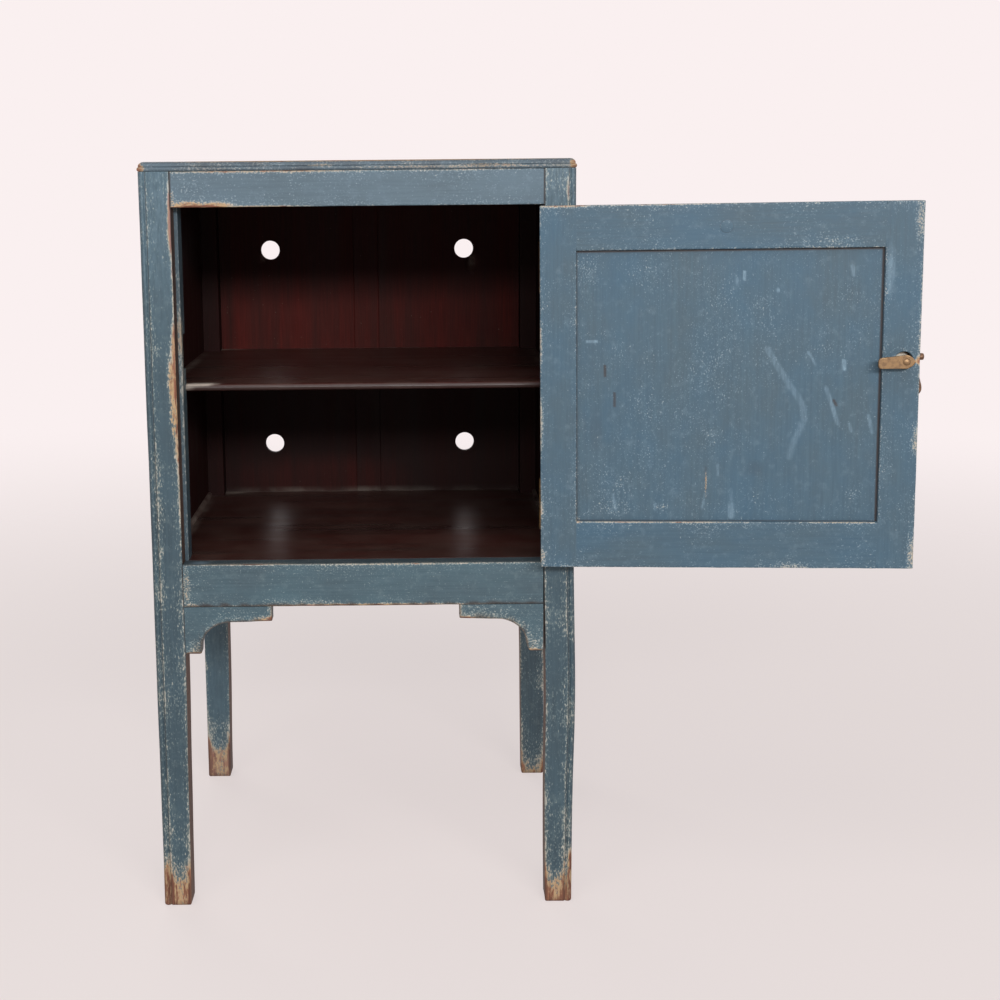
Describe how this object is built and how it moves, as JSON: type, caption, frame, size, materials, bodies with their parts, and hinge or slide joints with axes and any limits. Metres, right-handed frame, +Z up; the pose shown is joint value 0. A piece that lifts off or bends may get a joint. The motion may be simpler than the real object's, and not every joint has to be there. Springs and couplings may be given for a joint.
{
  "type": "bedside pot cupboard",
  "caption": "Tall-legged painted bedside cupboard with one shelf, a vented boarded back, shaped brackets under the rail, and a framed door with a turn catch and drop handle.",
  "frame": {"origin": "on the floor, under the middle of the carcase's footprint over the four legs", "axes": "+Z up, -Y towards the front where the door opens, +X to the right as seen from the front, where the door is hinged"},
  "size_m": [0.7705, 0.4732, 0.774],
  "materials": {
    "paint": "brushed and worn blue-grey paint over cream paint on pine",
    "stained_wood": "dark red-brown stain under old shellac, half gloss",
    "bare_pine": "planed, never finished",
    "brass": "cast and filed, dulled with age",
    "pale_metal": "plain turned sleeve",
    "iron": "plain drawn iron, dark with age"
  },
  "bodies": {
    "carcase": {"top_board": "paint", "leg_front_left": "paint", "leg_front_right": "paint", "leg_rear_left": "paint", "leg_rear_right": "paint", "rail_front_top": "paint", "rail_front_lower": "paint", "rail_rear_top": "stained_wood", "rail_rear_lower": "bare_pine", "side_panel_left": "paint", "side_panel_right": "paint", "back_board_left": "stained_wood", "back_slip": "stained_wood", "back_board_right": "stained_wood", "floor_board": "stained_wood", "floor_bearer_left": "bare_pine", "floor_bearer_right": "bare_pine", "floor_bead_left": "stained_wood", "floor_bead_right": "stained_wood", "shelf": "stained_wood", "door_stop": "paint", "bracket_left": "paint", "bracket_right": "paint", "glue_blocks": "bare_pine", "top_screws": "iron", "back_nails": "iron", "hinge_leg_leaf_upper": "brass", "hinge_leg_leaf_lower": "brass", "hinge_leg_screws": "brass", "hinge_pin_upper": "brass", "hinge_pin_lower": "brass"},
    "door": {"door_stile_hinge": "paint", "door_stile_catch": "paint", "door_rail_top": "paint", "door_rail_bottom": "paint", "door_panel": "paint", "door_plug": "paint", "hinge_door_leaf_upper": "brass", "hinge_door_leaf_lower": "brass", "hinge_door_screws": "brass", "handle_rose": "brass", "rose_pins": "brass", "spindle_bush": "pale_metal"},
    "catch": {"catch_spindle": "brass", "catch_lever": "brass", "catch_rivet": "brass", "handle_crossbar": "brass"},
    "handle_drop": {"handle_stirrup": "brass"}
  },
  "joints": [
    {"name": "door_swing", "type": "hinge", "parent": "carcase", "child": "door", "pos_m": [0.1817, -0.203, 0.5492], "axis": [-0.0035, 0, 1], "range_deg": [-174.7, 5.3]},
    {"name": "catch_turn", "type": "hinge", "parent": "door", "child": "catch", "pos_m": [0.52754, -0.2381, 0.57842], "axis": [0.0924, 0.9957, 0.0003], "range_deg": [-90, 180]},
    {"name": "drop_swing", "type": "hinge", "parent": "catch", "child": "handle_drop", "pos_m": [0.52874, -0.22516, 0.57843], "axis": [0.9957, -0.0924, 0.007], "range_deg": [-15, 195]}
  ]
}
